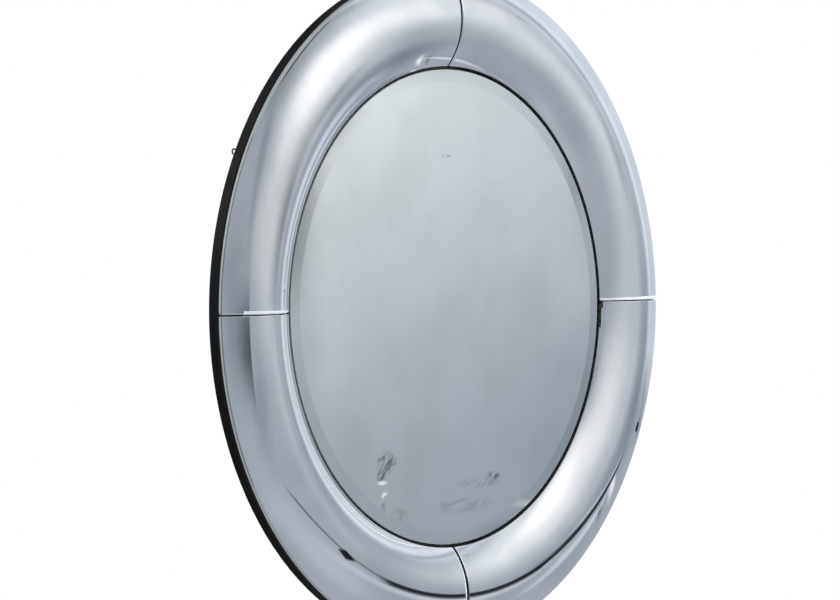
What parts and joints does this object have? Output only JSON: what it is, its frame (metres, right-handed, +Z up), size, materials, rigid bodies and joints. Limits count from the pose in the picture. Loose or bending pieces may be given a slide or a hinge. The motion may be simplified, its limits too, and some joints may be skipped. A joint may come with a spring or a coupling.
{
  "type": "wall mirror",
  "caption": "Round wall mirror: a flat bevelled centre mirror in a wide ring of arched mirror glass segments, on a black round back board with screw eyes for hanging",
  "frame": {"origin": "centre of the back face of the back board, at the mount wall_face", "axes": "+Z up as the mirror hangs, -Y out of the mirror's front towards the viewer, +X to the viewer's right"},
  "size_m": [0.8, 0.0572, 0.8],
  "materials": {
    "board_black": "black lacquered fibreboard, satin, lightly worn",
    "bedding_black": "black foam rubber, matt",
    "ring_mirror": "silvered convex glass, polished",
    "centre_mirror_glass": "silvered flat glass, bevelled and polished",
    "rib_wood": "planed softwood, unfinished",
    "pad_foam": "closed-cell foam, matt",
    "mastic": "mirror mastic, matt",
    "screw_steel": "zinc-plated steel",
    "eye_steel": "dull grey steel wire",
    "bumper_rubber": "soft rubber, matt"
  },
  "bodies": {
    "root": {"back_board": "board_black", "rim_strip_upper_right": "bedding_black", "gap_strip_upper_right": "bedding_black", "ring_glass_upper_right": "ring_mirror", "rim_strip_upper_left": "bedding_black", "gap_strip_upper_left": "bedding_black", "ring_glass_upper_left": "ring_mirror", "rim_strip_lower_left": "bedding_black", "gap_strip_lower_left": "bedding_black", "ring_glass_lower_left": "ring_mirror", "rim_strip_lower_right": "bedding_black", "gap_strip_lower_right": "bedding_black", "ring_glass_lower_right": "ring_mirror", "ring_rib_01": "rib_wood", "rib_pad_01": "pad_foam", "ring_rib_02": "rib_wood", "rib_pad_02": "pad_foam", "ring_rib_03": "rib_wood", "rib_pad_03": "pad_foam", "ring_rib_04": "rib_wood", "rib_pad_04": "pad_foam", "ring_rib_05": "rib_wood", "rib_pad_05": "pad_foam", "ring_rib_06": "rib_wood", "rib_pad_06": "pad_foam", "ring_rib_07": "rib_wood", "rib_pad_07": "pad_foam", "ring_rib_08": "rib_wood", "rib_pad_08": "pad_foam", "ring_rib_09": "rib_wood", "rib_pad_09": "pad_foam", "ring_rib_10": "rib_wood", "rib_pad_10": "pad_foam", "ring_rib_11": "rib_wood", "rib_pad_11": "pad_foam", "ring_rib_12": "rib_wood", "rib_pad_12": "pad_foam", "rib_screws": "screw_steel", "centre_mirror": "centre_mirror_glass", "mirror_mastic": "mastic", "screw_eye_left": "eye_steel", "wall_bumper_left": "bumper_rubber", "screw_eye_right": "eye_steel", "wall_bumper_right": "bumper_rubber"}
  },
  "joints": []
}
